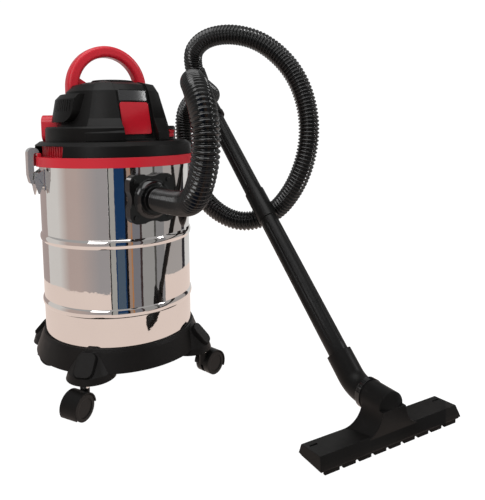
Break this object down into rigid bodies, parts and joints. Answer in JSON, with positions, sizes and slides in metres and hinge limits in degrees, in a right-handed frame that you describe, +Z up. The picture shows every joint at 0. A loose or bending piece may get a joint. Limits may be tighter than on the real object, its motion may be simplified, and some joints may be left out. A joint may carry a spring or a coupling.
{
  "type": "shop vacuum",
  "caption": "Shop vacuum with a polished steel drum on casters, a clamped motor head with a carry handle, a ribbed hose, a wand and a floor nozzle.",
  "frame": {"origin": "on the floor, straight under the drum's axis", "axes": "+Z up along the drum's axis, front with the hose inlet towards -Y, +X to the right seen from behind the inlet looking at the machine's front"},
  "size_m": [0.5402, 0.668, 0.6879],
  "materials": {
    "polished_steel": "mirror-polished stainless sheet",
    "zinc_steel": "bright zinc-plated",
    "black_plastic": "fine-textured moulded plastic",
    "black_gloss": "smooth extruded plastic",
    "red_plastic": "satin-gloss moulded plastic",
    "black_rubber": "soft matt rubber",
    "motor_steel": "dull lacquered steel",
    "copper_winding": "enamelled copper and laminations",
    "filter_paper": "pleated paper",
    "float_plastic": "natural polymer"
  },
  "bodies": {
    "base": {"drum": "polished_steel", "base_tray": "black_plastic", "base_bolts": "zinc_steel", "inlet_flange": "black_plastic", "inlet_gasket": "black_rubber", "inlet_screws": "zinc_steel", "inlet_tail": "black_plastic", "left_latch_bracket": "zinc_steel", "right_latch_bracket": "zinc_steel", "left_latch_pin": "zinc_steel", "right_latch_pin": "zinc_steel", "hose_machine_cuff": "black_gloss", "hose": "black_gloss", "hose_wand_cuff": "black_gloss", "hand_grip": "black_plastic", "wand_upper": "black_plastic", "wand_lower": "black_plastic", "nozzle_elbow": "black_plastic"},
    "nozzle": {"nozzle_body": "black_plastic", "nozzle_collar": "black_gloss", "nozzle_sole": "black_plastic", "nozzle_front_strip": "black_rubber", "nozzle_rear_strip": "black_rubber", "nozzle_screws": "zinc_steel"},
    "head": {"lid_ring": "red_plastic", "lid_seal": "black_rubber", "head_cover": "black_plastic", "badge_plate": "red_plastic", "switch_body": "black_gloss", "carry_handle": "red_plastic", "top_cap": "black_plastic", "blower_port": "red_plastic", "cord_gland": "black_rubber", "head_screws": "zinc_steel", "motor_mount": "black_rubber", "fan_housing": "motor_steel", "motor_can": "motor_steel", "motor_stator": "copper_winding", "float_cage": "float_plastic", "filter": "filter_paper"},
    "rotor": {"motor_armature": "copper_winding", "impeller": "motor_steel"},
    "float": {"float": "float_plastic"},
    "rocker": {"switch_rocker": "red_plastic"},
    "front_left_fork": {"caster_front_left_fork": "black_plastic"},
    "front_left_wheels": {"caster_front_left_wheels": "black_gloss"},
    "front_right_fork": {"caster_front_right_fork": "black_plastic"},
    "front_right_wheels": {"caster_front_right_wheels": "black_gloss"},
    "rear_left_fork": {"caster_rear_left_fork": "black_plastic"},
    "rear_left_wheels": {"caster_rear_left_wheels": "black_gloss"},
    "rear_right_fork": {"caster_rear_right_fork": "black_plastic"},
    "rear_right_wheels": {"caster_rear_right_wheels": "black_gloss"},
    "left_lever": {"left_latch_lever": "zinc_steel"},
    "left_hook": {"left_latch_hook": "zinc_steel"},
    "right_lever": {"right_latch_lever": "zinc_steel"},
    "right_hook": {"right_latch_hook": "zinc_steel"}
  },
  "joints": [
    {"name": "front_left_swivel", "type": "hinge", "parent": "base", "child": "front_left_fork", "pos_m": [-0.119, -0.119, 0.055], "axis": [0, 0, 1], "continuous": true},
    {"name": "front_left_roll", "type": "hinge", "parent": "front_left_fork", "child": "front_left_wheels", "pos_m": [-0.13489, -0.12745, 0.022], "axis": [0.4695, -0.8829, 0], "continuous": true},
    {"name": "front_right_swivel", "type": "hinge", "parent": "base", "child": "front_right_fork", "pos_m": [0.119, -0.119, 0.055], "axis": [0, 0, 1], "continuous": true},
    {"name": "front_right_roll", "type": "hinge", "parent": "front_right_fork", "child": "front_right_wheels", "pos_m": [0.13654, -0.11495, 0.022], "axis": [-0.225, 0.9744, 0], "continuous": true},
    {"name": "rear_left_swivel", "type": "hinge", "parent": "base", "child": "rear_left_fork", "pos_m": [-0.119, 0.119, 0.055], "axis": [0, 0, 1], "continuous": true},
    {"name": "rear_left_roll", "type": "hinge", "parent": "rear_left_fork", "child": "rear_left_wheels", "pos_m": [-0.10426, 0.10868, 0.022], "axis": [0.5736, 0.8192, 0], "continuous": true},
    {"name": "rear_right_swivel", "type": "hinge", "parent": "base", "child": "rear_right_fork", "pos_m": [0.119, 0.119, 0.055], "axis": [0, 0, 1], "continuous": true},
    {"name": "rear_right_roll", "type": "hinge", "parent": "rear_right_fork", "child": "rear_right_wheels", "pos_m": [0.12745, 0.13489, 0.022], "axis": [-0.8829, 0.4695, 0], "continuous": true},
    {"name": "head_lift", "type": "slide", "parent": "base", "child": "head", "axis": [0, 0, 1], "range_m": [0, 0.3]},
    {"name": "left_lever_open", "type": "hinge", "parent": "base", "child": "left_lever", "pos_m": [-0.149, 0, 0.4], "axis": [0, 1, 0], "range_deg": [0, 90]},
    {"name": "left_hook_turn", "type": "hinge", "parent": "left_lever", "child": "left_hook", "pos_m": [-0.1585, 0, 0.39], "axis": [0, -1, 0], "range_deg": [0, 115]},
    {"name": "right_lever_open", "type": "hinge", "parent": "base", "child": "right_lever", "pos_m": [0.149, 0, 0.4], "axis": [0, -1, 0], "range_deg": [0, 90]},
    {"name": "right_hook_turn", "type": "hinge", "parent": "right_lever", "child": "right_hook", "pos_m": [0.1585, 0, 0.39], "axis": [0, 1, 0], "range_deg": [0, 115]},
    {"name": "rotor_spin", "type": "hinge", "parent": "head", "child": "rotor", "pos_m": [0, 0, 0.505], "axis": [0, 0, 1], "continuous": true},
    {"name": "float_rise", "type": "slide", "parent": "head", "child": "float", "axis": [0, 0, 1], "range_m": [0, 0.02]},
    {"name": "switch_press", "type": "hinge", "parent": "head", "child": "rocker", "pos_m": [0.06782, -0.09663, 0.4715], "axis": [-0.7986, -0.6018, 0], "range_deg": [0, 16]},
    {"name": "nozzle_swivel", "type": "hinge", "parent": "base", "child": "nozzle", "pos_m": [0.23089, -0.45115, 0.05846], "axis": [-0.1167, -0.9932, 0], "range_deg": [-45, 45]}
  ],
  "couplings": [
    {"joint": "left_hook_turn", "follows": "left_lever_open", "ratio": 1.2778},
    {"joint": "right_hook_turn", "follows": "right_lever_open", "ratio": 1.2778}
  ]
}
